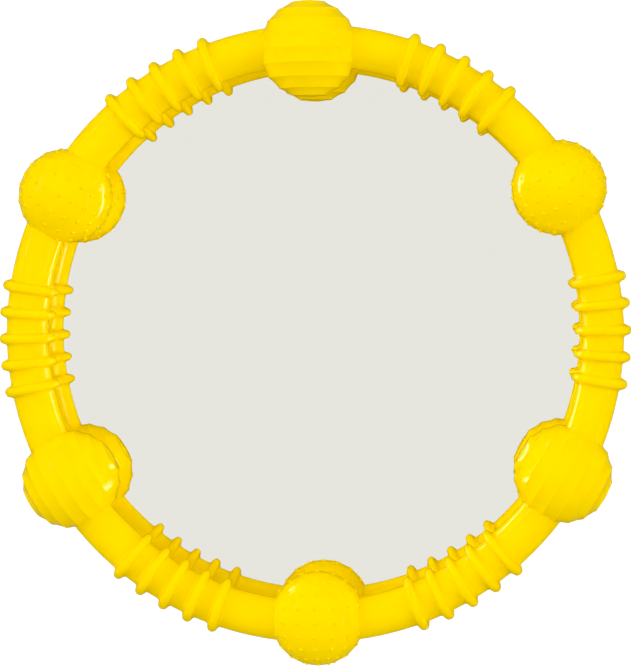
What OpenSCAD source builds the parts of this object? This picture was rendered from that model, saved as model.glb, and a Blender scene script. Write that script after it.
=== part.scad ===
// Toss-and-catch juggling ring: six textured balls and six ribbed grips threaded on a sprung hoop.
// The ring lies flat, its axis along +Z, with the 12 o'clock ball at +Y.
// Origin: centre of the ring, on the plane that the balls rest on. Millimetres.

/* [Ring] */
// Radius of the circle that the tube's centreline follows
ring_r = 138; // [120:1:150]
// Outer diameter of the rubber tube between two balls
tube_d = 20; // [16:0.5:22]

/* [Balls] */
// Radius of the circle through the ball centres
ball_ring_r = 136.4; // [119:0.1:150]
// Radius of a ridged ball at the bottom of its grooves, and of its smooth end caps
groove_floor_r = 23.1; // [21:0.1:24]
// Height of a ridge over the groove floor
ridge_h = 0.65; // [0.3:0.05:1.2]
// Radius of a nubbed ball between its nubs
nub_ball_r = 22.5; // [20.5:0.1:23.5]
// Height of a nub over its ball
nub_h = 0.6; // [0.3:0.05:1]
// Diameter of a nub where it leaves the ball
nub_d = 2.2; // [1.4:0.1:3]
// Angle between neighbouring ridges, and between neighbouring rows of nubs
row_step = 17.6; // [17:0.1:18]
// Nubs in each full row
nubs_per_row = 16; // [12:2:18]

/* [Grips] */
// Ribs on each grip
rib_count = 5; // [3:2:7]
// Angle between neighbouring ribs, seen from the centre of the ring
rib_step = 5; // [4.2:0.1:5.2]
// Outer diameter of a rib
rib_d = 27; // [24:0.5:30]
// Thickness of a rib at its rim, which is fully rounded
rib_w = 4.4; // [3:0.1:5]
// How far each side of a rib spreads for every millimetre down towards the tube
rib_spread = 0.45; // [0.1:0.05:0.6]

/* [Hoop inside] */
// Outer diameter of the hoop tube
hoop_d = 9; // [7:0.5:11]
// Bore of the hoop tube
hoop_bore_d = 5; // [3.5:0.5:5.5]
// Slit between the two ends of the hoop tube, inside the 6 o'clock ball
hoop_slit = 1; // [0.5:0.1:2]
// Length of the joiner rod that closes the hoop
joiner_l = 30; // [20:1:34]
// Diameter of the two pins that lock the joiner
pin_d = 2; // [1.5:0.1:2.5]
// Distance of each pin from the slit
pin_offset = 8; // [5:0.5:9]
// Radial gap between an inner piece and the piece round it
fit_gap = 0.1; // [0.05:0.01:0.2]

/* [Hidden] */
$fn = 96;
balls = 6;
ball_step = 360 / balls;
row_count = 4;
groove_steps = 6;
rest_z = groove_floor_r + ridge_h;
nub_tip_r = nub_ball_r + nub_h;
rubber = [1.0, 0.88, 0.02];
hoop_plastic = [0.93, 0.92, 0.88];
joiner_metal = [0.75, 0.76, 0.78];
pin_steel = [0.6, 0.61, 0.63];
// The round face of a nub is part of a small sphere, sunk into the ball
nub_sphere_r = (pow(nub_d / 2, 2) + pow(nub_h, 2)) / (2 * nub_h);
// Nubs nearer than this to the tube's axis would lie under the tube
tube_mask = asin((tube_d / 2 + nub_d) / nub_ball_r);
// The grip's tube starts inside its ball, this far round from the ball's centre, and is then trimmed to it
tube_start = 4;
grip_half_angle = ball_step / 2 - tube_start;
// How far a rib's root reaches into the tube wall
rib_root = 2;
// How far a cutting shape runs past what it cuts
overrun = 2;
// The pins stop short of the hoop's outside at both ends
pin_l = hoop_d - 4 * fit_gap;
// Facets of the small round shapes
rim_facets = 32;
nub_facets = 24;

// Angle in the ring's plane of an hour on a clock face, with 12 at +Y
function clock_angle(hour) = 90 - 30 * hour;

// Angle along the hoop that a length of its centreline covers
function arc_angle(length) = length / ring_r * 180 / PI;

// Ridged balls sit at 12, 4 and 8 o'clock, with a nubbed ball between each two
function is_ridged(hour) = hour % 4 == 0;

// Radius of a ridged ball at a latitude: sharp crests, hollow grooves, and a smooth cap past the last ridge
function ridged_r(lat) =
    let (t = abs(lat) / row_step, from_crest = abs(t - round(t)) * 2)
    t > row_count + 0.5 ? groove_floor_r : groove_floor_r + ridge_h * pow(1 - from_crest, 2);

// Places a ball's own frame, whose +Z is its pole, so that the pole points away from the ring's centre
module at_ball(hour) {
    translate([0, 0, rest_z])
        rotate([0, 0, clock_angle(hour)])
            translate([ball_ring_r, 0, 0])
                rotate([0, 90, 0])
                    children();
}

// A length of round tube along the hoop's centreline, from one angle to another
module arc_tube(from_angle, to_angle, outer_d, bore_d = 0) {
    translate([0, 0, rest_z])
        rotate([0, 0, from_angle])
            rotate_extrude(angle = to_angle - from_angle)
                translate([ring_r, 0])
                    difference() {
                        circle(d = outer_d);
                        if (bore_d > 0) circle(d = bore_d);
                    }
}

// The channel that the hoop runs through, over the reach of one ball
module hoop_channel(hour) {
    reach = arc_angle(rest_z + overrun);
    arc_tube(clock_angle(hour) - reach, clock_angle(hour) + reach, hoop_d + 2 * fit_gap);
}

module ridge_profile() {
    step = row_step / (2 * groove_steps);
    last = floor(90 / step);
    lats = [for (i = [-last : last]) i * step];
    polygon(concat(
        [[0, -groove_floor_r]],
        [for (lat = lats) ridged_r(lat) * [cos(lat), sin(lat)]],
        [[0, groove_floor_r]]
    ));
}

module ridged_ball(hour) {
    color(rubber)
        difference() {
            at_ball(hour) rotate_extrude() ridge_profile();
            hoop_channel(hour);
        }
}

// One row of nubs round the pole; the mask leaves out those that the tube would cover
module nub_row(lat, count) {
    for (i = [0 : count - 1]) {
        lon = i * 360 / count;
        toward_tube = abs(cos(lat) * sin(lon));
        if (toward_tube < cos(tube_mask))
            rotate([0, 90 - lat, lon])
                translate([0, 0, nub_tip_r - nub_sphere_r])
                    sphere(r = nub_sphere_r, $fn = nub_facets);
    }
}

module nubbed_ball(hour) {
    color(rubber)
        difference() {
            at_ball(hour) {
                sphere(r = nub_ball_r);
                for (row = [1 - row_count : row_count - 1]) nub_row(row * row_step, nubs_per_row);
                for (side = [-1, 1]) nub_row(side * row_count * row_step, nubs_per_row / 2);
                for (side = [-1, 1]) nub_row(side * 90, 1);
            }
            hoop_channel(hour);
        }
}

// Half section of a rib: a fully rounded rim over sides that spread towards the root
module rib_profile() {
    rim_r = rib_d / 2 - rib_w / 2;
    root_r = tube_d / 2 - rib_root;
    rim_side = rib_w / 2;
    root_side = rim_side + rib_spread * (rim_r - root_r);
    polygon([[root_r, -root_side], [rim_r, -rim_side], [rim_r, rim_side], [root_r, root_side]]);
    translate([rim_r, 0]) circle(d = rib_w, $fn = rim_facets);
}

// A disc-shaped rib round the tube at one angle
module rib(angle) {
    translate([0, 0, rest_z])
        rotate([0, 0, angle])
            translate([ring_r, 0, 0])
                rotate([90, 0, 0])
                    rotate_extrude() rib_profile();
}

// The grip's end is cupped to the ball that it butts against
module ball_seat(hour) {
    seat_r = (is_ridged(hour) ? rest_z : nub_tip_r) + fit_gap;
    at_ball(hour) sphere(r = seat_r);
}

module ribbed_grip(hour) {
    middle = clock_angle(hour);
    color(rubber)
        difference() {
            union() {
                arc_tube(middle - grip_half_angle, middle + grip_half_angle, tube_d, hoop_d + 2 * fit_gap);
                for (i = [0 : rib_count - 1]) rib(middle + (i - (rib_count - 1) / 2) * rib_step);
            }
            ball_seat(hour - 1);
            ball_seat(hour + 1);
        }
}

// Turns a child made along +X at the hoop's centreline to a place beside the slit
module beside_slit(length) {
    translate([0, 0, rest_z])
        rotate([0, 0, clock_angle(6) + arc_angle(length)])
            translate([ring_r, 0, 0])
                rotate([0, 90, 0])
                    children();
}

module pin_holes() {
    for (side = [-1, 1])
        beside_slit(side * pin_offset)
            cylinder(d = pin_d + 2 * fit_gap, h = hoop_d + overrun, center = true);
}

module hoop_tube() {
    half_slit = arc_angle(hoop_slit / 2);
    color(hoop_plastic)
        difference() {
            arc_tube(clock_angle(6) + half_slit, clock_angle(6) + 360 - half_slit, hoop_d, hoop_bore_d);
            pin_holes();
        }
}

module hoop_joiner() {
    half_length = arc_angle(joiner_l / 2);
    color(joiner_metal)
        difference() {
            arc_tube(clock_angle(6) - half_length, clock_angle(6) + half_length, hoop_bore_d - 2 * fit_gap);
            pin_holes();
        }
}

module joiner_pins() {
    color(pin_steel)
        for (side = [-1, 1])
            beside_slit(side * pin_offset)
                cylinder(d = pin_d, h = pin_l, center = true);
}

hoop_tube();
hoop_joiner();
joiner_pins();
ridged_ball(12);  // ridged_ball_12
nubbed_ball(2);  // nubbed_ball_2
ridged_ball(4);  // ridged_ball_4
nubbed_ball(6);  // nubbed_ball_6
ridged_ball(8);  // ridged_ball_8
nubbed_ball(10);  // nubbed_ball_10
ribbed_grip(1);  // ribbed_grip_1
ribbed_grip(3);  // ribbed_grip_3
ribbed_grip(5);  // ribbed_grip_5
ribbed_grip(7);  // ribbed_grip_7
ribbed_grip(9);  // ribbed_grip_9
ribbed_grip(11);  // ribbed_grip_11
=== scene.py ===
# %% [markdown]
# # A rubber juggling ring in Blender
# The ring is a closed hoop with six balls and six ribbed grips threaded on it. The hoop is hidden inside,
# so what shows is moulded yellow rubber: balls with ridges, balls with nubs, and tubes with disc-shaped
# ribs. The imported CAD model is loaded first. It gives every piece its place and size, and the finer skins
# made below stand exactly where the CAD pieces stand.

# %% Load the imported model
import bpy
import math
from mathutils import Matrix, Vector


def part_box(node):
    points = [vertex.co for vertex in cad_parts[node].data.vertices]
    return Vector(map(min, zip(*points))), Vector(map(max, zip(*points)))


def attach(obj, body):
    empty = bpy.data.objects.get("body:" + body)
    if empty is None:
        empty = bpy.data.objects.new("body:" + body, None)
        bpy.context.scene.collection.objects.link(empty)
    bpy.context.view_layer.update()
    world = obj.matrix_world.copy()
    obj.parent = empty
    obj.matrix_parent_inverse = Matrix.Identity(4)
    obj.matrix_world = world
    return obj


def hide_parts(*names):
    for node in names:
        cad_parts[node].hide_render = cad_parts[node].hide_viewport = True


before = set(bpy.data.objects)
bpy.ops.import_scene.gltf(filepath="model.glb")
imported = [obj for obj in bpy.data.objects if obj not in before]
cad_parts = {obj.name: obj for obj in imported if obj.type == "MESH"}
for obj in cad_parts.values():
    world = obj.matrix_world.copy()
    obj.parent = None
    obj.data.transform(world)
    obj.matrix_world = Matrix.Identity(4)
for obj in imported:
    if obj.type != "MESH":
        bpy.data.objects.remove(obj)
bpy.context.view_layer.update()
MM = 0.001

# %% [markdown]
# ## Driving sizes
# Each size is named once, in millimetres, and everything else follows from these. The ring lies flat with
# its axis along +Z, and pieces are numbered as hours on a clock face with 12 at +Y. The height of the
# ring's middle plane and the reach of the ribs are read back from the CAD nodes, so the skins can't drift
# away from the model.

# %% Name the sizes
RING_R = 138.0
BALL_RING_R = 136.4
TUBE_R = 10.0
CHANNEL_R = 4.6
GROOVE_FLOOR_R = 23.1
RIDGE_H = 0.62
NUB_BALL_R = 22.5
NUB_H = 0.6
NUB_R = 1.1
ROW_STEP = math.radians(17.6)
FULL_ROWS = 7
NUBS_PER_ROW = 16
RIB_COUNT = 5
RIB_STEP = math.radians(5.0)
RIB_W = 4.4
ROOT_FILLET = 1.25
RIB_DRAFT = 0.25
BALL_REACH = math.radians(11.0)
GRIP_REACH = math.radians(26.0)
SEAT_OVERLAP = 0.25

HOUR_DEGREES = 30
RIDGED_HOURS = (12, 4, 8)
NUBBED_HOURS = (2, 6, 10)
GRIP_HOURS = (1, 3, 5, 7, 9, 11)


def clock_angle(hour):
    """Angle in the ring's plane of an hour on a clock face, with 12 at +Y."""
    return math.radians(90 - HOUR_DEGREES * hour)


low_3, high_3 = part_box("ribbed_grip_3")
MID_Z = (low_3[2] + high_3[2]) / 2 / MM
RIB_R = (high_3[2] - low_3[2]) / 2 / MM
print(f"middle plane at {MID_Z:.2f} mm, ribs reach {RIB_R:.2f} mm from the tube's centreline")

# %% [markdown]
# ## Camera
# The view is almost straight down on the ring, from a little to the right of and above its centre. A long
# lens from 1.4 metres keeps the far side nearly as large as the near side. The camera's axes are worked
# out one by one, because a tracking constraint has no steady idea of "up" when it looks straight down.

# %% Set the camera
LENS_MM = 158.1
CAMERA_DISTANCE = 1.40
LEAN_RIGHT = 0.0663
LEAN_UP = 0.0344
ROLL = math.radians(0.93)
AIM = Vector((0.0010, 0.0006, MID_Z * MM))

camera_data = bpy.data.cameras.new("studio_camera")
camera_data.lens = LENS_MM
camera_data.sensor_width = 36
camera = bpy.data.objects.new("studio_camera", camera_data)
bpy.context.scene.collection.objects.link(camera)
backward = Vector((LEAN_RIGHT, LEAN_UP, 1)).normalized()
rightward = Vector((math.sin(ROLL), math.cos(ROLL), 0)).cross(backward).normalized()
upward = backward.cross(rightward)
turn = Matrix((rightward, upward, backward)).transposed()
camera.matrix_world = Matrix.Translation(AIM + backward * CAMERA_DISTANCE) @ turn.to_4x4()
bpy.context.scene.camera = camera
lean = math.degrees(math.atan(math.hypot(LEAN_RIGHT, LEAN_UP)))
print(f"camera {CAMERA_DISTANCE} m away, leaning {lean:.1f} degrees")

# %% [markdown]
# ## Writing formulas as nodes
# A node tree that adds and multiplies soon looks like a bowl of noodles. The small class below lets a
# formula be written as Python arithmetic, while each sign still makes one ordinary Math node. It works in
# Geometry Nodes and in shader trees alike.

# %% A wire that does arithmetic


def plug(tree, slot, value):
    """Connects a Wire to a node's input, or sets the input to a plain value."""
    if isinstance(value, Wire):
        tree.links.new(value.socket, slot)
    else:
        slot.default_value = value


class Wire:
    """One number on its way through a node tree."""

    def __init__(self, tree, socket):
        self.tree = tree
        self.socket = socket

    def math(self, operation, *values):
        node = self.tree.nodes.new("ShaderNodeMath")
        node.operation = operation
        for slot, value in zip(node.inputs, values):
            plug(self.tree, slot, value)
        return Wire(self.tree, node.outputs[0])

    def __add__(self, other):
        return self.math("ADD", self, other)

    def __radd__(self, other):
        return self.math("ADD", other, self)

    def __sub__(self, other):
        return self.math("SUBTRACT", self, other)

    def __rsub__(self, other):
        return self.math("SUBTRACT", other, self)

    def __mul__(self, other):
        return self.math("MULTIPLY", self, other)

    def __rmul__(self, other):
        return self.math("MULTIPLY", other, self)

    def __truediv__(self, other):
        return self.math("DIVIDE", self, other)

    def __pow__(self, other):
        return self.math("POWER", self, other)

    def __abs__(self):
        return self.math("ABSOLUTE", self)

    def __lt__(self, other):
        return self.math("LESS_THAN", self, other)

    def __gt__(self, other):
        return self.math("GREATER_THAN", self, other)

    def sin(self):
        return self.math("SINE", self)

    def cos(self):
        return self.math("COSINE", self)

    def asin(self):
        return self.math("ARCSINE", self)

    def round(self):
        return self.math("ROUND", self)

    def floor(self):
        return self.math("FLOOR", self)

    def remainder(self, other):
        return self.math("FLOORED_MODULO", self, other)

    def ramp(self, start, end):
        """Rises from 0 to 1 while the number goes from start to end, and holds outside that."""
        node = self.tree.nodes.new("ShaderNodeClamp")
        plug(self.tree, node.inputs[0], (self - start) / (end - start))
        return Wire(self.tree, node.outputs[0])


def split(tree, vector_socket):
    """The three numbers of a vector, as wires."""
    node = tree.nodes.new("ShaderNodeSeparateXYZ")
    tree.links.new(vector_socket, node.inputs[0])
    return [Wire(tree, out) for out in node.outputs]


def join(tree, x, y, z):
    """A vector socket made from three wires or numbers."""
    node = tree.nodes.new("ShaderNodeCombineXYZ")
    for slot, value in zip(node.inputs, (x, y, z)):
        plug(tree, slot, value)
    return node.outputs[0]


# %% [markdown]
# ## Growing a piece from a tree
# Every skin is made the same way. A tree gets named inputs for its sizes, an empty object carries the
# tree as a modifier, the inputs are set by identifier, and the evaluated result is copied into a plain
# mesh. The carrier is then deleted, so the finished piece has no modifier left and its place is in its
# mesh.

# %% Helpers for trees and pieces
SOCKET_TYPES = {float: "NodeSocketFloat", int: "NodeSocketInt", "material": "NodeSocketMaterial"}


def new_tree(name, sizes):
    """An empty Geometry Nodes tree with one named input per size. Returns the tree and its input wires."""
    tree = bpy.data.node_groups.new(name, "GeometryNodeTree")
    for label, value in sizes.items():
        tree.interface.new_socket(label, in_out="INPUT", socket_type=SOCKET_TYPES[type(value)])
    tree.interface.new_socket("Material", in_out="INPUT", socket_type=SOCKET_TYPES["material"])
    tree.interface.new_socket("Geometry", in_out="OUTPUT", socket_type="NodeSocketGeometry")
    entry = tree.nodes.new("NodeGroupInput")
    return tree, {out.name: Wire(tree, out) for out in entry.outputs if out.name}


def add(tree, kind, options=None, **inputs):
    """A node with its options set and its inputs filled. An input's name has _ for each space."""
    node = tree.nodes.new(kind)
    for key, value in (options or {}).items():
        setattr(node, key, value)
    for key, value in inputs.items():
        slot = next(s for s in node.inputs if s.enabled and s.name == key.replace("_", " "))
        if isinstance(value, bpy.types.NodeSocket):
            tree.links.new(value, slot)
        else:
            plug(tree, slot, value)
    return node.outputs[0]


MERGE_DISTANCE = 0.000001


def close_tree(tree, geometry, sizes, crease):
    """Merges doubled points, rounds the shading except over creases, sets the material and ends the tree."""
    edge_angle = Wire(tree, add(tree, "GeometryNodeInputMeshEdgeAngle"))
    single = add(tree, "GeometryNodeMergeByDistance", Geometry=geometry, Distance=MERGE_DISTANCE)
    flat = add(tree, "GeometryNodeSetShadeSmooth", {"domain": "FACE"}, Geometry=single, Shade_Smooth=True)
    soft = add(
        tree, "GeometryNodeSetShadeSmooth", {"domain": "EDGE"},
        Geometry=flat, Selection=edge_angle > math.radians(crease), Shade_Smooth=False,
    )
    real = add(tree, "GeometryNodeRealizeInstances", Geometry=soft)
    done = add(tree, "GeometryNodeSetMaterial", Geometry=real, Material=sizes["Material"])
    leave = tree.nodes.new("NodeGroupOutput")
    tree.links.new(done, leave.inputs["Geometry"])


def grow(name, tree, sizes, material):
    """Runs a tree with these sizes and returns the result as a plain object."""
    carrier = bpy.data.objects.new(name + "_carrier", bpy.data.meshes.new(name + "_carrier"))
    bpy.context.scene.collection.objects.link(carrier)
    modifier = carrier.modifiers.new("shape", "NODES")
    modifier.node_group = tree
    for label, value in {**sizes, "Material": material}.items():
        modifier[tree.interface.items_tree[label].identifier] = value
    depsgraph = bpy.context.evaluated_depsgraph_get()
    mesh = bpy.data.meshes.new_from_object(carrier.evaluated_get(depsgraph), depsgraph=depsgraph)
    bpy.data.objects.remove(carrier)
    mesh.name = name
    piece = bpy.data.objects.new(name, mesh)
    bpy.context.scene.collection.objects.link(piece)
    return piece


# %% [markdown]
# ## Shader groups
# The whole ring is moulded from one rubber, so the effects that give it life are shared. "Moulded skin"
# is the fine orange-peel relief that a steel mould leaves. "Colour drift" is the slight unevenness of the
# pigment. The third group finds the raised spots, which catch faint pale scuffs, and marks the hollows,
# where the material paints shade as a darker yellow. Each is a group built once. The Principled shader
# stays in the material itself.

# %% Helpers for shader groups


def new_group(name, inputs, outputs):
    """An empty shader node group. inputs maps a name to its default, outputs maps a name to a socket type."""
    group = bpy.data.node_groups.new(name, "ShaderNodeTree")
    for label, default in inputs.items():
        kind = "NodeSocketFloat" if isinstance(default, float) else "NodeSocketColor"
        group.interface.new_socket(label, in_out="INPUT", socket_type=kind).default_value = default
    for label, kind in outputs.items():
        group.interface.new_socket(label, in_out="OUTPUT", socket_type=kind)
    entry = group.nodes.new("NodeGroupInput")
    leave = group.nodes.new("NodeGroupOutput")
    return group, {out.name: Wire(group, out) for out in entry.outputs if out.name}, leave


def noise(tree, feature_size, detail=2.0, roughness=0.5, stretch=(1, 1, 1), shift=0.0):
    """Noise on Object coordinates, from 0 to 1, with features about feature_size metres across."""
    place = tree.nodes.new("ShaderNodeTexCoord")
    mapping = tree.nodes.new("ShaderNodeMapping")
    mapping.inputs["Scale"].default_value = stretch
    mapping.inputs["Location"].default_value = (shift, shift, shift)
    tree.links.new(place.outputs["Object"], mapping.inputs["Vector"])
    node = tree.nodes.new("ShaderNodeTexNoise")
    tree.links.new(mapping.outputs[0], node.inputs["Vector"])
    plug(tree, node.inputs["Scale"], 1.0 / feature_size)
    node.inputs["Detail"].default_value = detail
    node.inputs["Roughness"].default_value = roughness
    return Wire(tree, node.outputs[0])


def blend_colour(tree, amount, first, second):
    """A colour between first and second. Each is a wire or four numbers."""
    node = tree.nodes.new("ShaderNodeMix")
    node.data_type = "RGBA"
    plug(tree, node.inputs[0], amount)
    plug(tree, node.inputs[6], first)
    plug(tree, node.inputs[7], second)
    return Wire(tree, node.outputs[2])


def use_group(tree, group, **values):
    """Places a group in a material and returns its outputs by name."""
    node = tree.nodes.new("ShaderNodeGroup")
    node.node_tree = group
    for key, value in values.items():
        plug(tree, node.inputs[key.replace("_", " ")], value)
    return {out.name: Wire(tree, out) for out in node.outputs}


# %% Build the three shared groups
# Pointiness is 0.5 on an even surface, more on a crest and less in a hollow
RAISED = (0.52, 0.6)
SUNKEN = (0.42, 0.485)
SCRATCH_SHARE = 0.3

skin_group, skin_in, skin_out = new_group(
    "Moulded skin", {"Peel": 0.6, "Grain": 0.4}, {"Height": "NodeSocketFloat"}
)
peel = noise(skin_group, 0.0016, detail=1.0)
grain = noise(skin_group, 0.00035, detail=2.0, shift=3.0)
plug(skin_group, skin_out.inputs["Height"], peel * skin_in["Peel"] + grain * skin_in["Grain"])

drift_group, drift_in, drift_out = new_group(
    "Colour drift",
    {"Colour": (0.8, 0.8, 0.8, 1.0), "Deep colour": (0.6, 0.6, 0.6, 1.0), "Amount": 0.3},
    {"Colour": "NodeSocketColor", "Cloud": "NodeSocketFloat"},
)
cloud = noise(drift_group, 0.022, detail=3.0, roughness=0.6, shift=7.0).ramp(0.35, 0.75)
flow = noise(drift_group, 0.006, detail=2.0, stretch=(1, 1, 3), shift=11.0).ramp(0.4, 0.8)
drift = (cloud * 0.7 + flow * 0.3) * drift_in["Amount"]
drifted = blend_colour(drift_group, drift, drift_in["Colour"], drift_in["Deep colour"])
plug(drift_group, drift_out.inputs["Colour"], drifted)
plug(drift_group, drift_out.inputs["Cloud"], cloud)

scuff_shade_group, scuff_shade_in, scuff_shade_out = new_group(
    "Scuffs and hollow shade", {"Scuffing": 0.5, "Dust": 0.5}, {"Scuff": "NodeSocketFloat", "Dust": "NodeSocketFloat"}
)
pointiness = Wire(scuff_shade_group, scuff_shade_group.nodes.new("ShaderNodeNewGeometry").outputs["Pointiness"])
patches = noise(scuff_shade_group, 0.009, detail=4.0, roughness=0.6, shift=5.0).ramp(0.45, 0.8)
scratch_noise = noise(scuff_shade_group, 0.0022, detail=3.0, roughness=0.7, stretch=(1, 6, 1), shift=2.0)
scratches = scratch_noise.ramp(0.56, 0.76)
raised = pointiness.ramp(*RAISED)
# Painted shade: sunken spots in noise patches are marked, so that a darker yellow stands in for shade in the
# hollows
sunken = 1.0 - pointiness.ramp(*SUNKEN)
scuff = (raised * patches + scratches * patches * SCRATCH_SHARE) * scuff_shade_in["Scuffing"]
plug(scuff_shade_group, scuff_shade_out.inputs["Scuff"], scuff)
plug(scuff_shade_group, scuff_shade_out.inputs["Dust"], sunken * patches * scuff_shade_in["Dust"])
print("shader groups:", [group.name for group in (skin_group, drift_group, scuff_shade_group)])

# %% [markdown]
# ## Yellow rubber
# The ring's rubber is a strong warm yellow that turns orange in its folds, because light that bounces
# between two yellow walls is filtered twice. That happens by itself when the base colour has the right
# ratio of green to red and almost no blue. The gloss is soft, so a strip of light shows as a pale streak
# and not as a mirror image. Balls and grips share the recipe, and the grips are a little more scuffed
# where hands close on them. Both also get painted shade in their hollows, the grips more than the balls.

# %% Make the rubber materials
YELLOW = (0.95, 0.67, 0.002, 1.0)
DEEP_YELLOW = (0.92, 0.61, 0.001, 1.0)
SCUFFED_YELLOW = (0.97, 0.75, 0.06, 1.0)
# A deeper yellow that is painted into the hollows as shade
HOLLOW_SHADE_YELLOW = (0.70, 0.47, 0.03, 1.0)
RELIEF_DEPTH = 0.00003
RELIEF_STRENGTH = 0.35
SPECULAR_LEVEL = 0.33
CLOUD_ROUGHNESS = 0.06
SCUFF_ROUGHNESS = 0.25


def make_rubber(name, scuffing, hollow_shade, gloss):
    """Moulded rubber: shared skin, drift, scuffs and painted shade in the hollows round one Principled
    shader.
    """
    material = bpy.data.materials.new(name)
    material.use_nodes = True
    tree = material.node_tree
    shader = tree.nodes["Principled BSDF"]
    drifted = use_group(tree, drift_group, Colour=YELLOW, Deep_colour=DEEP_YELLOW, Amount=0.5)
    scuff_and_shade = use_group(tree, scuff_shade_group, Scuffing=scuffing, Dust=hollow_shade)
    scuffed = blend_colour(tree, scuff_and_shade["Scuff"], drifted["Colour"], SCUFFED_YELLOW)
    # Painted shade: the hollows are darkened towards the deeper yellow
    hollow_shaded = blend_colour(tree, scuff_and_shade["Dust"], scuffed, HOLLOW_SHADE_YELLOW)
    plug(tree, shader.inputs["Base Color"], hollow_shaded)
    uneven = drifted["Cloud"] * CLOUD_ROUGHNESS + scuff_and_shade["Scuff"] * SCUFF_ROUGHNESS
    plug(tree, shader.inputs["Roughness"], gloss + uneven)
    bump = tree.nodes.new("ShaderNodeBump")
    bump.inputs["Strength"].default_value = RELIEF_STRENGTH
    bump.inputs["Distance"].default_value = RELIEF_DEPTH
    plug(tree, bump.inputs["Height"], use_group(tree, skin_group, Peel=0.7, Grain=0.3)["Height"])
    tree.links.new(bump.outputs[0], shader.inputs["Normal"])
    shader.inputs["IOR"].default_value = 1.5
    shader.inputs["Specular IOR Level"].default_value = SPECULAR_LEVEL
    return material


# The second weight sets how much painted shade darkens the hollows
ball_rubber = make_rubber("ball_rubber", scuffing=0.18, hollow_shade=0.12, gloss=0.16)
grip_rubber = make_rubber("grip_rubber", scuffing=0.35, hollow_shade=0.30, gloss=0.17)
print("rubber materials:", ball_rubber.name, grip_rubber.name)

# %% [markdown]
# ## Placing a ball and drilling it
# Both kinds of ball are shaped round their pole, which points straight away from the ring's centre. The
# shape is made with the pole along +Z, tipped over to +X, moved out to the circle of ball centres, and
# drilled for the hoop by subtracting a short bent tube. Last it is turned to its hour. Tree nodes do all
# of this, so one tree serves three balls.

# %% Shared nodes for the balls
CHANNEL_STEPS = 64
CHANNEL_SIDES = 32


def turn_to_hour(tree, sizes, geometry):
    """Moves a shape made at angle 0 in the plane z = 0 to its hour and height."""
    rotation = join(tree, 0.0, 0.0, sizes["Clock angle"])
    raised = join(tree, 0.0, 0.0, sizes["Middle height"])
    return add(tree, "GeometryNodeTransform", Geometry=geometry, Rotation=rotation, Translation=raised)


def hoop_channel(tree, sizes):
    """The bent tube of space that the hoop runs through, centred on angle 0."""
    arc = add(
        tree, "GeometryNodeCurveArc", Resolution=CHANNEL_STEPS, Radius=sizes["Ring radius"],
        Start_Angle=sizes["Channel reach"] * -1.0, Sweep_Angle=sizes["Channel reach"] * 2.0,
    )
    outline = add(
        tree, "GeometryNodeCurvePrimitiveCircle", Resolution=CHANNEL_SIDES, Radius=sizes["Channel radius"]
    )
    return add(tree, "GeometryNodeCurveToMesh", Curve=arc, Profile_Curve=outline, Fill_Caps=True)


def cut(tree, body, *tools):
    """body minus every tool."""
    node = tree.nodes.new("GeometryNodeMeshBoolean")
    node.operation = "DIFFERENCE"
    node.solver = "MANIFOLD"
    tree.links.new(body, node.inputs[0])
    for tool in tools:
        tree.links.new(tool, node.inputs[1])
    return node.outputs[0]


def finish_ball(tree, sizes, pole_up):
    """Tips the pole outwards, moves the ball to the ring, drills it and turns it to its hour."""
    outward = join(tree, sizes["Ball circle radius"], 0.0, 0.0)
    tipped = add(
        tree, "GeometryNodeTransform", Geometry=pole_up, Translation=outward, Rotation=(0, math.pi / 2, 0)
    )
    drilled = cut(tree, tipped, hoop_channel(tree, sizes))
    close_tree(tree, turn_to_hour(tree, sizes, drilled), sizes, crease=38)


BALL_PLACE = {
    "Clock angle": 0.0,
    "Middle height": MID_Z * MM,
    "Ball circle radius": BALL_RING_R * MM,
    "Ring radius": RING_R * MM,
    "Channel radius": CHANNEL_R * MM,
    "Channel reach": BALL_REACH,
}

# %% [markdown]
# ## Ridged balls
# The ridges are circles of latitude, like the lines of a globe, with a sharp crest every 17.6 degrees and
# a hollow scallop between. They could be modelled by revolving a drawn profile. A formula on a dense
# globe is shorter and keeps its sizes as named inputs: each point's radius depends only on how far its
# latitude is from the nearest crest. Past the last crest the ball ends in a smooth cap.

# %% Grow the ridged balls
RIDGED_SIZES = {
    **BALL_PLACE,
    "Groove floor radius": GROOVE_FLOOR_R * MM,
    "Ridge height": RIDGE_H * MM,
    "Row step": ROW_STEP,
    "Outer rows": 4.0,
    "Globe segments": 128,
    "Globe rings": 300,
}


def build_ridged_tree():
    tree, sizes = new_tree("Ridged ball", RIDGED_SIZES)
    globe = add(
        tree, "GeometryNodeMeshUVSphere",
        Segments=sizes["Globe segments"], Rings=sizes["Globe rings"], Radius=1.0,
    )
    x, y, z = split(tree, add(tree, "GeometryNodeInputPosition"))
    rows_from_equator = abs(z.asin()) / sizes["Row step"]
    from_crest = abs(rows_from_equator - rows_from_equator.round()) * 2.0
    has_ridge = rows_from_equator < sizes["Outer rows"] + 0.5
    ridge = (1.0 - from_crest) ** 2.0 * sizes["Ridge height"] * has_ridge
    radius = sizes["Groove floor radius"] + ridge
    shaped = join(tree, x * radius, y * radius, z * radius)
    ball = add(tree, "GeometryNodeSetPosition", Geometry=globe, Position=shaped)
    finish_ball(tree, sizes, ball)
    return tree


ridged_tree = build_ridged_tree()
ball_skins = {}
for hour in RIDGED_HOURS:
    values = {**RIDGED_SIZES, "Clock angle": clock_angle(hour)}
    ball_skins[f"ridged_ball_{hour}"] = grow(f"ridged_skin_{hour}", ridged_tree, values, ball_rubber)
print("ridged balls, faces each:", len(ball_skins["ridged_ball_12"].data.polygons))

# %% [markdown]
# ## Nubbed balls
# The other balls carry small round nubs in rows of latitude, all lined up on the same meridians. Each nub
# is a tiny sphere sunk into the ball. The nubs are instances on points that a formula places: the row
# number gives the latitude and the number in the row gives the longitude. A union then welds ball and
# nubs into one closed skin, which gives each nub a clean edge that displacement would blur.

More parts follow.
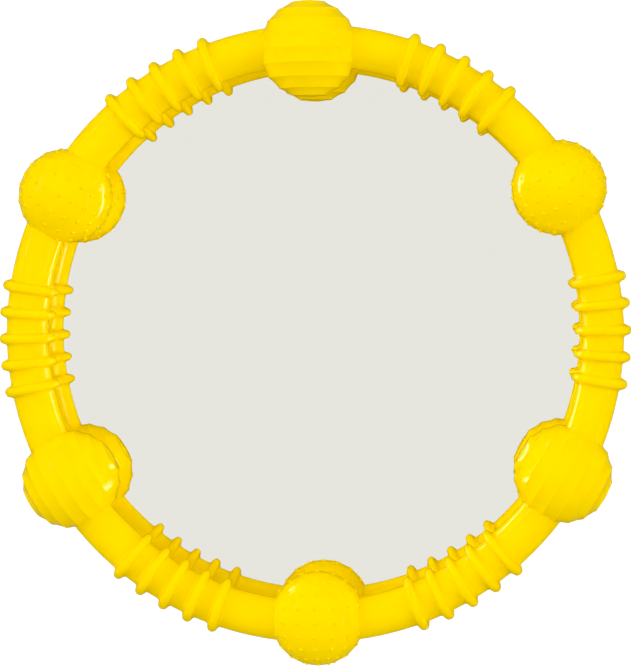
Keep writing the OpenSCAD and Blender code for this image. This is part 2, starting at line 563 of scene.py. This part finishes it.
# %% Grow the nubbed balls
NUB_SPHERE_R = (NUB_R**2 + NUB_H**2) / (2 * NUB_H)
NUB_SEGMENTS = 16
NUB_RINGS = 10
NUBBED_SIZES = {
    **BALL_PLACE,
    "Ball radius": NUB_BALL_R * MM,
    "Nub sphere radius": NUB_SPHERE_R * MM,
    "Nub centre radius": (NUB_BALL_R + NUB_H - NUB_SPHERE_R) * MM,
    "Row step": ROW_STEP,
    "Full rows": FULL_ROWS,
    "Nubs per row": NUBS_PER_ROW,
    "Face density": 72,
}


def nub_points(tree, sizes, count, latitude_of, longitude_of):
    """Points on a sphere, where two formulas of the point's number give latitude and longitude."""
    number = Wire(tree, add(tree, "GeometryNodeInputIndex"))
    lat, lon = latitude_of(number), longitude_of(number)
    reach = sizes["Nub centre radius"]
    place = join(tree, reach * lat.cos() * lon.cos(), reach * lat.cos() * lon.sin(), reach * lat.sin())
    points = add(tree, "GeometryNodePoints", Count=count)
    return add(tree, "GeometryNodeSetPosition", Geometry=points, Position=place)


def place_nubs(tree, sizes):
    """All the points that carry a nub: full rows, half-filled end rows and the two poles."""
    per_row, step = sizes["Nubs per row"], sizes["Row step"]
    middle_row = (sizes["Full rows"] - 1.0) / 2.0
    end_row = middle_row + 1.0
    full = nub_points(
        tree, sizes, sizes["Full rows"] * per_row,
        lambda n: ((n / per_row).floor() - middle_row) * step,
        lambda n: n.remainder(per_row) / per_row * math.tau,
    )
    ends = nub_points(
        tree, sizes, per_row * 1.0,
        lambda n: (n.remainder(2.0) * 2.0 - 1.0) * end_row * step,
        lambda n: (n / 2.0).floor() / (per_row / 2.0) * math.tau,
    )
    poles = nub_points(
        tree, sizes, 2,
        lambda n: (n * 2.0 - 1.0) * (math.pi / 2),
        lambda n: n * 0.0,
    )
    gather = tree.nodes.new("GeometryNodeJoinGeometry")
    for points in (poles, ends, full):
        tree.links.new(points, gather.inputs[0])
    return gather.outputs[0]


def build_nubbed_tree():
    tree, sizes = new_tree("Nubbed ball", NUBBED_SIZES)
    density = sizes["Face density"]
    cube = add(
        tree, "GeometryNodeMeshCube",
        Size=(2, 2, 2), Vertices_X=density, Vertices_Y=density, Vertices_Z=density,
    )
    x, y, z = split(tree, add(tree, "GeometryNodeInputPosition"))
    quarter_turns = [axis * (math.pi / 4) for axis in (x, y, z)]
    even_x, even_y, even_z = [turned.math("TANGENT", turned) for turned in quarter_turns]
    length = (even_x**2.0 + even_y**2.0 + even_z**2.0) ** 0.5
    to_ball = sizes["Ball radius"] / length
    round_place = join(tree, even_x * to_ball, even_y * to_ball, even_z * to_ball)
    ball = add(tree, "GeometryNodeSetPosition", Geometry=cube, Position=round_place)
    nub = add(
        tree, "GeometryNodeMeshUVSphere",
        Segments=NUB_SEGMENTS, Rings=NUB_RINGS, Radius=sizes["Nub sphere radius"],
    )
    away = add(tree, "GeometryNodeInputPosition")
    outward = add(tree, "FunctionNodeAlignRotationToVector", {"axis": "Z"}, Vector=away)
    nubs = add(
        tree, "GeometryNodeInstanceOnPoints", Points=place_nubs(tree, sizes), Instance=nub, Rotation=outward
    )
    real_nubs = add(tree, "GeometryNodeRealizeInstances", Geometry=nubs)
    weld = tree.nodes.new("GeometryNodeMeshBoolean")
    weld.operation = "UNION"
    weld.solver = "MANIFOLD"
    tree.links.new(ball, weld.inputs[1])
    tree.links.new(real_nubs, weld.inputs[1])
    finish_ball(tree, sizes, weld.outputs[0])
    return tree


nubbed_tree = build_nubbed_tree()
for hour in NUBBED_HOURS:
    values = {**NUBBED_SIZES, "Clock angle": clock_angle(hour)}
    ball_skins[f"nubbed_ball_{hour}"] = grow(f"nubbed_skin_{hour}", nubbed_tree, values, ball_rubber)
print("nubbed balls, faces each:", len(ball_skins["nubbed_ball_2"].data.polygons))

# %% [markdown]
# ## Ribbed grips
# A grip is a tube with five disc-shaped ribs. Each rib has a fully rounded rim, slightly drafted sides
# and a fillet where it grows out of the tube. The tree draws it straight first: a line of points whose
# spacing and radius follow the rib's profile, swept with a circle. Then it bends the straight piece round
# the ring with one Set Position, which keeps every rib square to the tube. Last it is drilled and its
# ends are cupped to the two balls.

# %% Grow the grips
POINTS_PER_RIB = 49
# From a rib's middle outwards, its points are spent on the rim, the flank, the root fillet and then the tube
RIM_SHARE = 0.32
FLANK_SHARE = 0.46
ROOT_SHARE = 0.72
SEAT_SEGMENTS = 96
SEAT_RINGS = 64
CHANNEL_OVERRUN = 1.05
GRIP_SIZES = {
    "Clock angle": 0.0,
    "Middle height": MID_Z * MM,
    "Ring radius": RING_R * MM,
    "Tube radius": TUBE_R * MM,
    "Rib radius": RIB_R * MM,
    "Rim radius": RIB_W / 2 * MM,
    "Root fillet": ROOT_FILLET * MM,
    "Draft": RIB_DRAFT * MM,
    "Rib count": RIB_COUNT,
    "Rib spacing": RING_R * RIB_STEP * MM,
    "Half length": RING_R * GRIP_REACH * MM,
    "Channel radius": CHANNEL_R * MM,
    "Channel reach": GRIP_REACH * CHANNEL_OVERRUN,
    "Points per rib": POINTS_PER_RIB,
    "Points round": 96,
    "Ball circle radius": BALL_RING_R * MM,
    "Seat before": NUB_BALL_R * MM,
    "Seat after": GROOVE_FLOOR_R * MM,
}


def rib_profile(sizes, number):
    """Position along the straight grip and radius there, for a point's number along the line."""
    per_rib, count = sizes["Points per rib"], sizes["Rib count"]
    rib_number = (number / per_rib).floor()
    across = (number.remainder(per_rib) + 0.5) / per_rib * 2.0 - 1.0
    side = across.math("SIGN", across)
    out = abs(across)
    rim_turn = out.ramp(0.0, RIM_SHARE) * (math.pi / 2)
    flank = out.ramp(RIM_SHARE, FLANK_SHARE)
    root_turn = out.ramp(FLANK_SHARE, ROOT_SHARE) * (math.pi / 2)
    run = out.ramp(ROOT_SHARE, 1.0)
    rim, fillet, draft = sizes["Rim radius"], sizes["Root fillet"], sizes["Draft"]
    rim_centre = sizes["Rib radius"] - rim
    foot = rim + draft + fillet
    from_middle = rib_number - (count - 1.0) / 2.0
    rib_place = from_middle * sizes["Rib spacing"]
    is_end = (from_middle * side) > ((count - 1.0) / 2.0 - 0.25)
    gap_run = sizes["Rib spacing"] / 2.0 - foot
    end_run = sizes["Half length"] - (count - 1.0) / 2.0 * sizes["Rib spacing"] - foot
    run_length = gap_run + (end_run - gap_run) * is_end
    offset = rim * rim_turn.sin() + draft * flank + fillet * (1.0 - root_turn.cos()) + run_length * run
    drop = rim_centre - sizes["Tube radius"] - fillet
    radius = rim_centre + rim * rim_turn.cos() - drop * flank - fillet * root_turn.sin()
    return rib_place + side * offset, radius


def ball_seat(tree, sizes, radius, side):
    """The ball that cups one end of the grip, as a plain sphere. side is -1 or 1."""
    angle = side * math.radians(HOUR_DEGREES)
    reach = sizes["Ball circle radius"]
    centre = join(tree, reach * math.cos(angle), reach * math.sin(angle), 0.0)
    ball = add(
        tree, "GeometryNodeMeshUVSphere",
        Segments=SEAT_SEGMENTS, Rings=SEAT_RINGS, Radius=radius - SEAT_OVERLAP * MM,
    )
    return add(tree, "GeometryNodeTransform", Geometry=ball, Translation=centre)


def build_grip_tree():
    tree, sizes = new_tree("Ribbed grip", GRIP_SIZES)
    number = Wire(tree, add(tree, "GeometryNodeInputIndex"))
    along, radius = rib_profile(sizes, number)
    points = add(tree, "GeometryNodeMeshLine", Count=sizes["Rib count"] * sizes["Points per rib"])
    spine = add(
        tree, "GeometryNodeMeshToCurve",
        Mesh=add(tree, "GeometryNodeSetPosition", Geometry=points, Position=join(tree, along, 0.0, 0.0)),
    )
    outline = add(tree, "GeometryNodeCurvePrimitiveCircle", Resolution=sizes["Points round"], Radius=1.0)
    straight = add(
        tree, "GeometryNodeCurveToMesh", Curve=spine, Profile_Curve=outline, Scale=radius, Fill_Caps=True
    )
    x, y, z = split(tree, add(tree, "GeometryNodeInputPosition"))
    angle = x / sizes["Ring radius"]
    reach = sizes["Ring radius"] - y
    bent = add(
        tree, "GeometryNodeSetPosition", Geometry=straight,
        Position=join(tree, reach * angle.cos(), reach * angle.sin(), z),
    )
    seats = [
        ball_seat(tree, sizes, sizes["Seat before"], -1),
        ball_seat(tree, sizes, sizes["Seat after"], 1),
    ]
    cupped = cut(tree, bent, hoop_channel(tree, sizes), *seats)
    close_tree(tree, turn_to_hour(tree, sizes, cupped), sizes, crease=50)
    return tree


grip_tree = build_grip_tree()
grip_skins = {}
for hour in GRIP_HOURS:
    seats = {}
    for label, neighbour in (("Seat before", hour % 12 + 1), ("Seat after", hour - 1 or 12)):
        seats[label] = (NUB_BALL_R if neighbour in NUBBED_HOURS else GROOVE_FLOOR_R) * MM
    values = {**GRIP_SIZES, **seats, "Clock angle": clock_angle(hour)}
    grip_skins[f"ribbed_grip_{hour}"] = grow(f"grip_skin_{hour}", grip_tree, values, grip_rubber)
print("grips, faces each:", len(grip_skins["ribbed_grip_3"].data.polygons))

# %% [markdown]
# ## Hidden pieces
# The hoop tube, its joiner and the two pins stay as the CAD made them, because their shape is right and
# nobody sees them on the finished ring. They still get real finishes: milky extruded plastic with lines
# along its length, drawn aluminium and ground steel, so the ring also looks right when somebody takes it
# apart.

# %% Finish the hoop, joiner and pins
LINE_ROUGHNESS = 0.15
LINE_STRENGTH = 0.3


def make_hard_finish(name, colour, deep_colour, roughness, metallic, line_stretch):
    """A drawn or extruded surface: fine lines, slight colour drift and soft wear."""
    material = bpy.data.materials.new(name)
    material.use_nodes = True
    tree = material.node_tree
    shader = tree.nodes["Principled BSDF"]
    drifted = use_group(tree, drift_group, Colour=colour, Deep_colour=deep_colour, Amount=0.6)
    plug(tree, shader.inputs["Base Color"], drifted["Colour"])
    lines = noise(tree, 0.0012, detail=3.0, stretch=line_stretch, shift=1.0)
    plug(tree, shader.inputs["Roughness"], roughness + lines * LINE_ROUGHNESS)
    shader.inputs["Metallic"].default_value = metallic
    bump = tree.nodes.new("ShaderNodeBump")
    bump.inputs["Strength"].default_value = LINE_STRENGTH
    bump.inputs["Distance"].default_value = RELIEF_DEPTH
    plug(tree, bump.inputs["Height"], lines)
    tree.links.new(bump.outputs[0], shader.inputs["Normal"])
    return material


HARD_FINISHES = {
    "hoop_tube": make_hard_finish(
        "hoop_plastic", (0.85, 0.83, 0.76, 1), (0.78, 0.74, 0.63, 1), 0.4, 0.0, (1, 1, 6)
    ),
    "hoop_joiner": make_hard_finish(
        "joiner_aluminium", (0.78, 0.79, 0.81, 1), (0.66, 0.67, 0.7, 1), 0.28, 1.0, (1, 8, 8)
    ),
    "joiner_pins": make_hard_finish(
        "pin_steel", (0.6, 0.61, 0.63, 1), (0.5, 0.5, 0.52, 1), 0.22, 1.0, (1, 8, 1)
    ),
}
for node_name, material in HARD_FINISHES.items():
    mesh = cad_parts[node_name].data
    mesh.materials.clear()
    mesh.materials.append(material)
print("finished inside:", sorted(HARD_FINISHES))

# %% [markdown]
# ## Fixing the skins to the model
# Each skin replaces one CAD node, which is hidden, and rides on the ring's single body. Nothing on this
# ring moves against anything else, so one body is enough.

# %% Ride and replace
for node_name, skin in {**ball_skins, **grip_skins}.items():
    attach(skin, "root")
    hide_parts(node_name)
print("skins fixed:", len(ball_skins) + len(grip_skins))

# %% [markdown]
# ## Sheen without haze
# Rubber mirrors its white surroundings faintly all over, and that haze would turn the yellow pale. In a
# studio a polarising filter takes it off. Here the Light Path node does it: rays that a rough gloss has
# scattered see the surroundings dimmed, while mirror-sharp rays see them in full. A second helper picks
# out the rays that gather light for a matt surface, so that a lamp can light the ring softly and still
# show as a bright streak. Neither is physical, and both only touch the floor and the world, never the
# rubber.

# %% A filter for rough gloss


def sheen_filter(tree, kept, kept_by_plate):
    """1 for most rays, kept for rays from rough gloss, kept_by_plate for those that the plate then turns."""
    ray = tree.nodes.new("ShaderNodeLightPath")
    first_mirrored = Wire(tree, ray.outputs["Is Singular Ray"])
    second = Wire(tree, ray.outputs["Glossy Depth"]) > 1.5
    after_diffuse = Wire(tree, ray.outputs["Diffuse Depth"]) > 0.5
    by_gloss = Wire(tree, ray.outputs["Is Glossy Ray"]) * (1.0 - after_diffuse)
    direct = by_gloss * (1.0 - first_mirrored)
    turned = by_gloss * first_mirrored * second
    return 1.0 - direct * (1.0 - kept) - turned * (1.0 - kept_by_plate)


def lights_matt(tree):
    """1 for rays that gather light for a matt surface, so that a lamp's light and its look are set apart."""
    return Wire(tree, tree.nodes.new("ShaderNodeLightPath").outputs["Is Diffuse Ray"])


# %% [markdown]
# ## Floor
# The ring lies on a plain white light table with a round, mirror-polished plate let into it. The plate is
# smaller than the ring, so from above its rim hides under the rubber. It shows the underside of the ring
# as a second layer just inside the first, one ball's diameter further down. One flat sheet is enough: the
# material is polished inside the plate's radius, and matt and lit from below outside it. How bright each
# part looks and how much light it gives to the rubber are two separate values.

# %% Lay the floor
FLOOR_HALF = 30.0
PLATE_R = 0.140
PLATE_TINT = (1.0, 1.0, 0.95, 1.0)
TABLE_WHITE = (0.20, 0.20, 0.20, 1.0)
TABLE_GLOW = 0.92
TABLE_LIGHT = 0.25
PLATE_LIGHT = 0.09
TABLE_ROUGHNESS = 0.9

floor_mesh = bpy.data.meshes.new("floor")
corners = [(x * FLOOR_HALF, y * FLOOR_HALF, 0.0) for x, y in ((-1, -1), (1, -1), (1, 1), (-1, 1))]
floor_mesh.from_pydata(corners, [], [(0, 1, 2, 3)])
floor = bpy.data.objects.new("floor", floor_mesh)
bpy.context.scene.collection.objects.link(floor)
floor_material = bpy.data.materials.new("light_table_with_polished_plate")
floor_material.use_nodes = True
floor_material.cycles.emission_sampling = "NONE"
floor_tree = floor_material.node_tree
floor_shader = floor_tree.nodes["Principled BSDF"]
floor_place = floor_tree.nodes.new("ShaderNodeTexCoord")
floor_x, floor_y, _ = split(floor_tree, floor_place.outputs["Object"])
polished = (floor_x**2.0 + floor_y**2.0) ** 0.5 < PLATE_R
floor_colour = blend_colour(floor_tree, polished, TABLE_WHITE, PLATE_TINT)
plug(floor_tree, floor_shader.inputs["Base Color"], floor_colour)
plug(floor_tree, floor_shader.inputs["Metallic"], polished)
plug(floor_tree, floor_shader.inputs["Roughness"], TABLE_ROUGHNESS - polished * TABLE_ROUGHNESS)
gathers = lights_matt(floor_tree)
table_look = (1.0 - polished) * sheen_filter(floor_tree, kept=0.0, kept_by_plate=0.1) * TABLE_GLOW
table_light = TABLE_LIGHT + polished * (PLATE_LIGHT - TABLE_LIGHT)
glow = table_look * (1.0 - gathers) + table_light * gathers
plug(floor_tree, floor_shader.inputs["Emission Strength"], glow)
floor_shader.inputs["Emission Color"].default_value = (1.0, 1.0, 1.0, 1.0)
floor_shader.inputs["Specular IOR Level"].default_value = 0.0
floor_mesh.materials.append(floor_material)
print("floor laid at z = 0")

# %% [markdown]
# ## Studio light
# The light is a white tent drawn by a world shader, because a tent has no edges and casts no hard shadow.
# It is brighter towards the top of the view, so surfaces that face down the view turn a deeper yellow,
# and dimmer towards the horizon, so that the sides of the tube fall off. Two soft windows of two panes
# each stand on the left and right, and the polished plate sends their double streaks to the inner side of
# the ring. A small black point for blue in the colour management gives the clean yellow of a catalogue
# print.

# %% Name the light levels
TENT_LEVEL = 1.10
TENT_LEAN = 0.25
HORIZON_DIM = 0.35
DIM_BELOW = 0.6
TOP_LEVEL = 0.79
TOP_PATCH = (0.955, 0.985)
WINDOW_LEVEL = 14.0
WINDOW_LIGHT = 0.45
WINDOW_PANES = ((0.20, 0.27), (0.38, 0.46))
# Azimuth and half width of each window
RIGHT_WINDOW = (math.radians(-8), 0.42)
LEFT_WINDOW = (math.radians(158), 0.45)
PANE_SOFTNESS = 0.015
SIDE_SOFTNESS = 0.1
BLUE_BLACK_POINT = 0.028

# %% Set the colour management and start the world
scene = bpy.context.scene
scene.view_settings.view_transform = "Standard"
scene.view_settings.look = "None"
scene.view_settings.use_curve_mapping = True
scene.view_settings.curve_mapping.black_level = (0.0, 0.0, BLUE_BLACK_POINT)
scene.view_settings.curve_mapping.update()
world = bpy.data.worlds.new("white_tent")
scene.world = world
world.use_nodes = True
world.cycles.sampling_method = "NONE"
sky = world.node_tree
background = sky.nodes["Background"]
direction = sky.nodes.new("ShaderNodeTexCoord")
side_x, side_y, height = split(sky, direction.outputs["Generated"])
level_run = (side_x**2.0 + side_y**2.0) ** 0.5


# %% Shapes of the windows


def pane(low_edge, high_edge):
    """1 between two heights of the sight line, with soft edges."""
    above = height.ramp(low_edge - PANE_SOFTNESS, low_edge + PANE_SOFTNESS)
    below = 1.0 - height.ramp(high_edge - PANE_SOFTNESS, high_edge + PANE_SOFTNESS)
    return above * below


def window(azimuth, half_width):
    """1 in the two panes of a window round an azimuth."""
    toward = (side_x * math.cos(azimuth) + side_y * math.sin(azimuth)) / level_run
    across = toward.ramp(math.cos(half_width + SIDE_SOFTNESS), math.cos(half_width - SIDE_SOFTNESS))
    low_pane, high_pane = [pane(*edges) for edges in WINDOW_PANES]
    return across * (low_pane + high_pane)


# %% Hang the tent and its windows
windows = window(*RIGHT_WINDOW) + window(*LEFT_WINDOW)
top_patch = height.ramp(*TOP_PATCH)
dimming = 1.0 - HORIZON_DIM * (1.0 - height.ramp(0.0, DIM_BELOW))
tent = (TENT_LEVEL + side_y * TENT_LEAN) * dimming * (1.0 - top_patch) + top_patch * TOP_LEVEL
window_light = 1.0 - lights_matt(sky) * (1.0 - WINDOW_LIGHT)
window_share = sheen_filter(sky, kept=0.04, kept_by_plate=1.0) * window_light
radiance = tent * sheen_filter(sky, kept=0.0, kept_by_plate=0.1) + windows * window_share * WINDOW_LEVEL
plug(sky, background.inputs["Strength"], radiance)
background.inputs["Color"].default_value = (1.0, 0.998, 0.985, 1.0)
print("white tent ready")
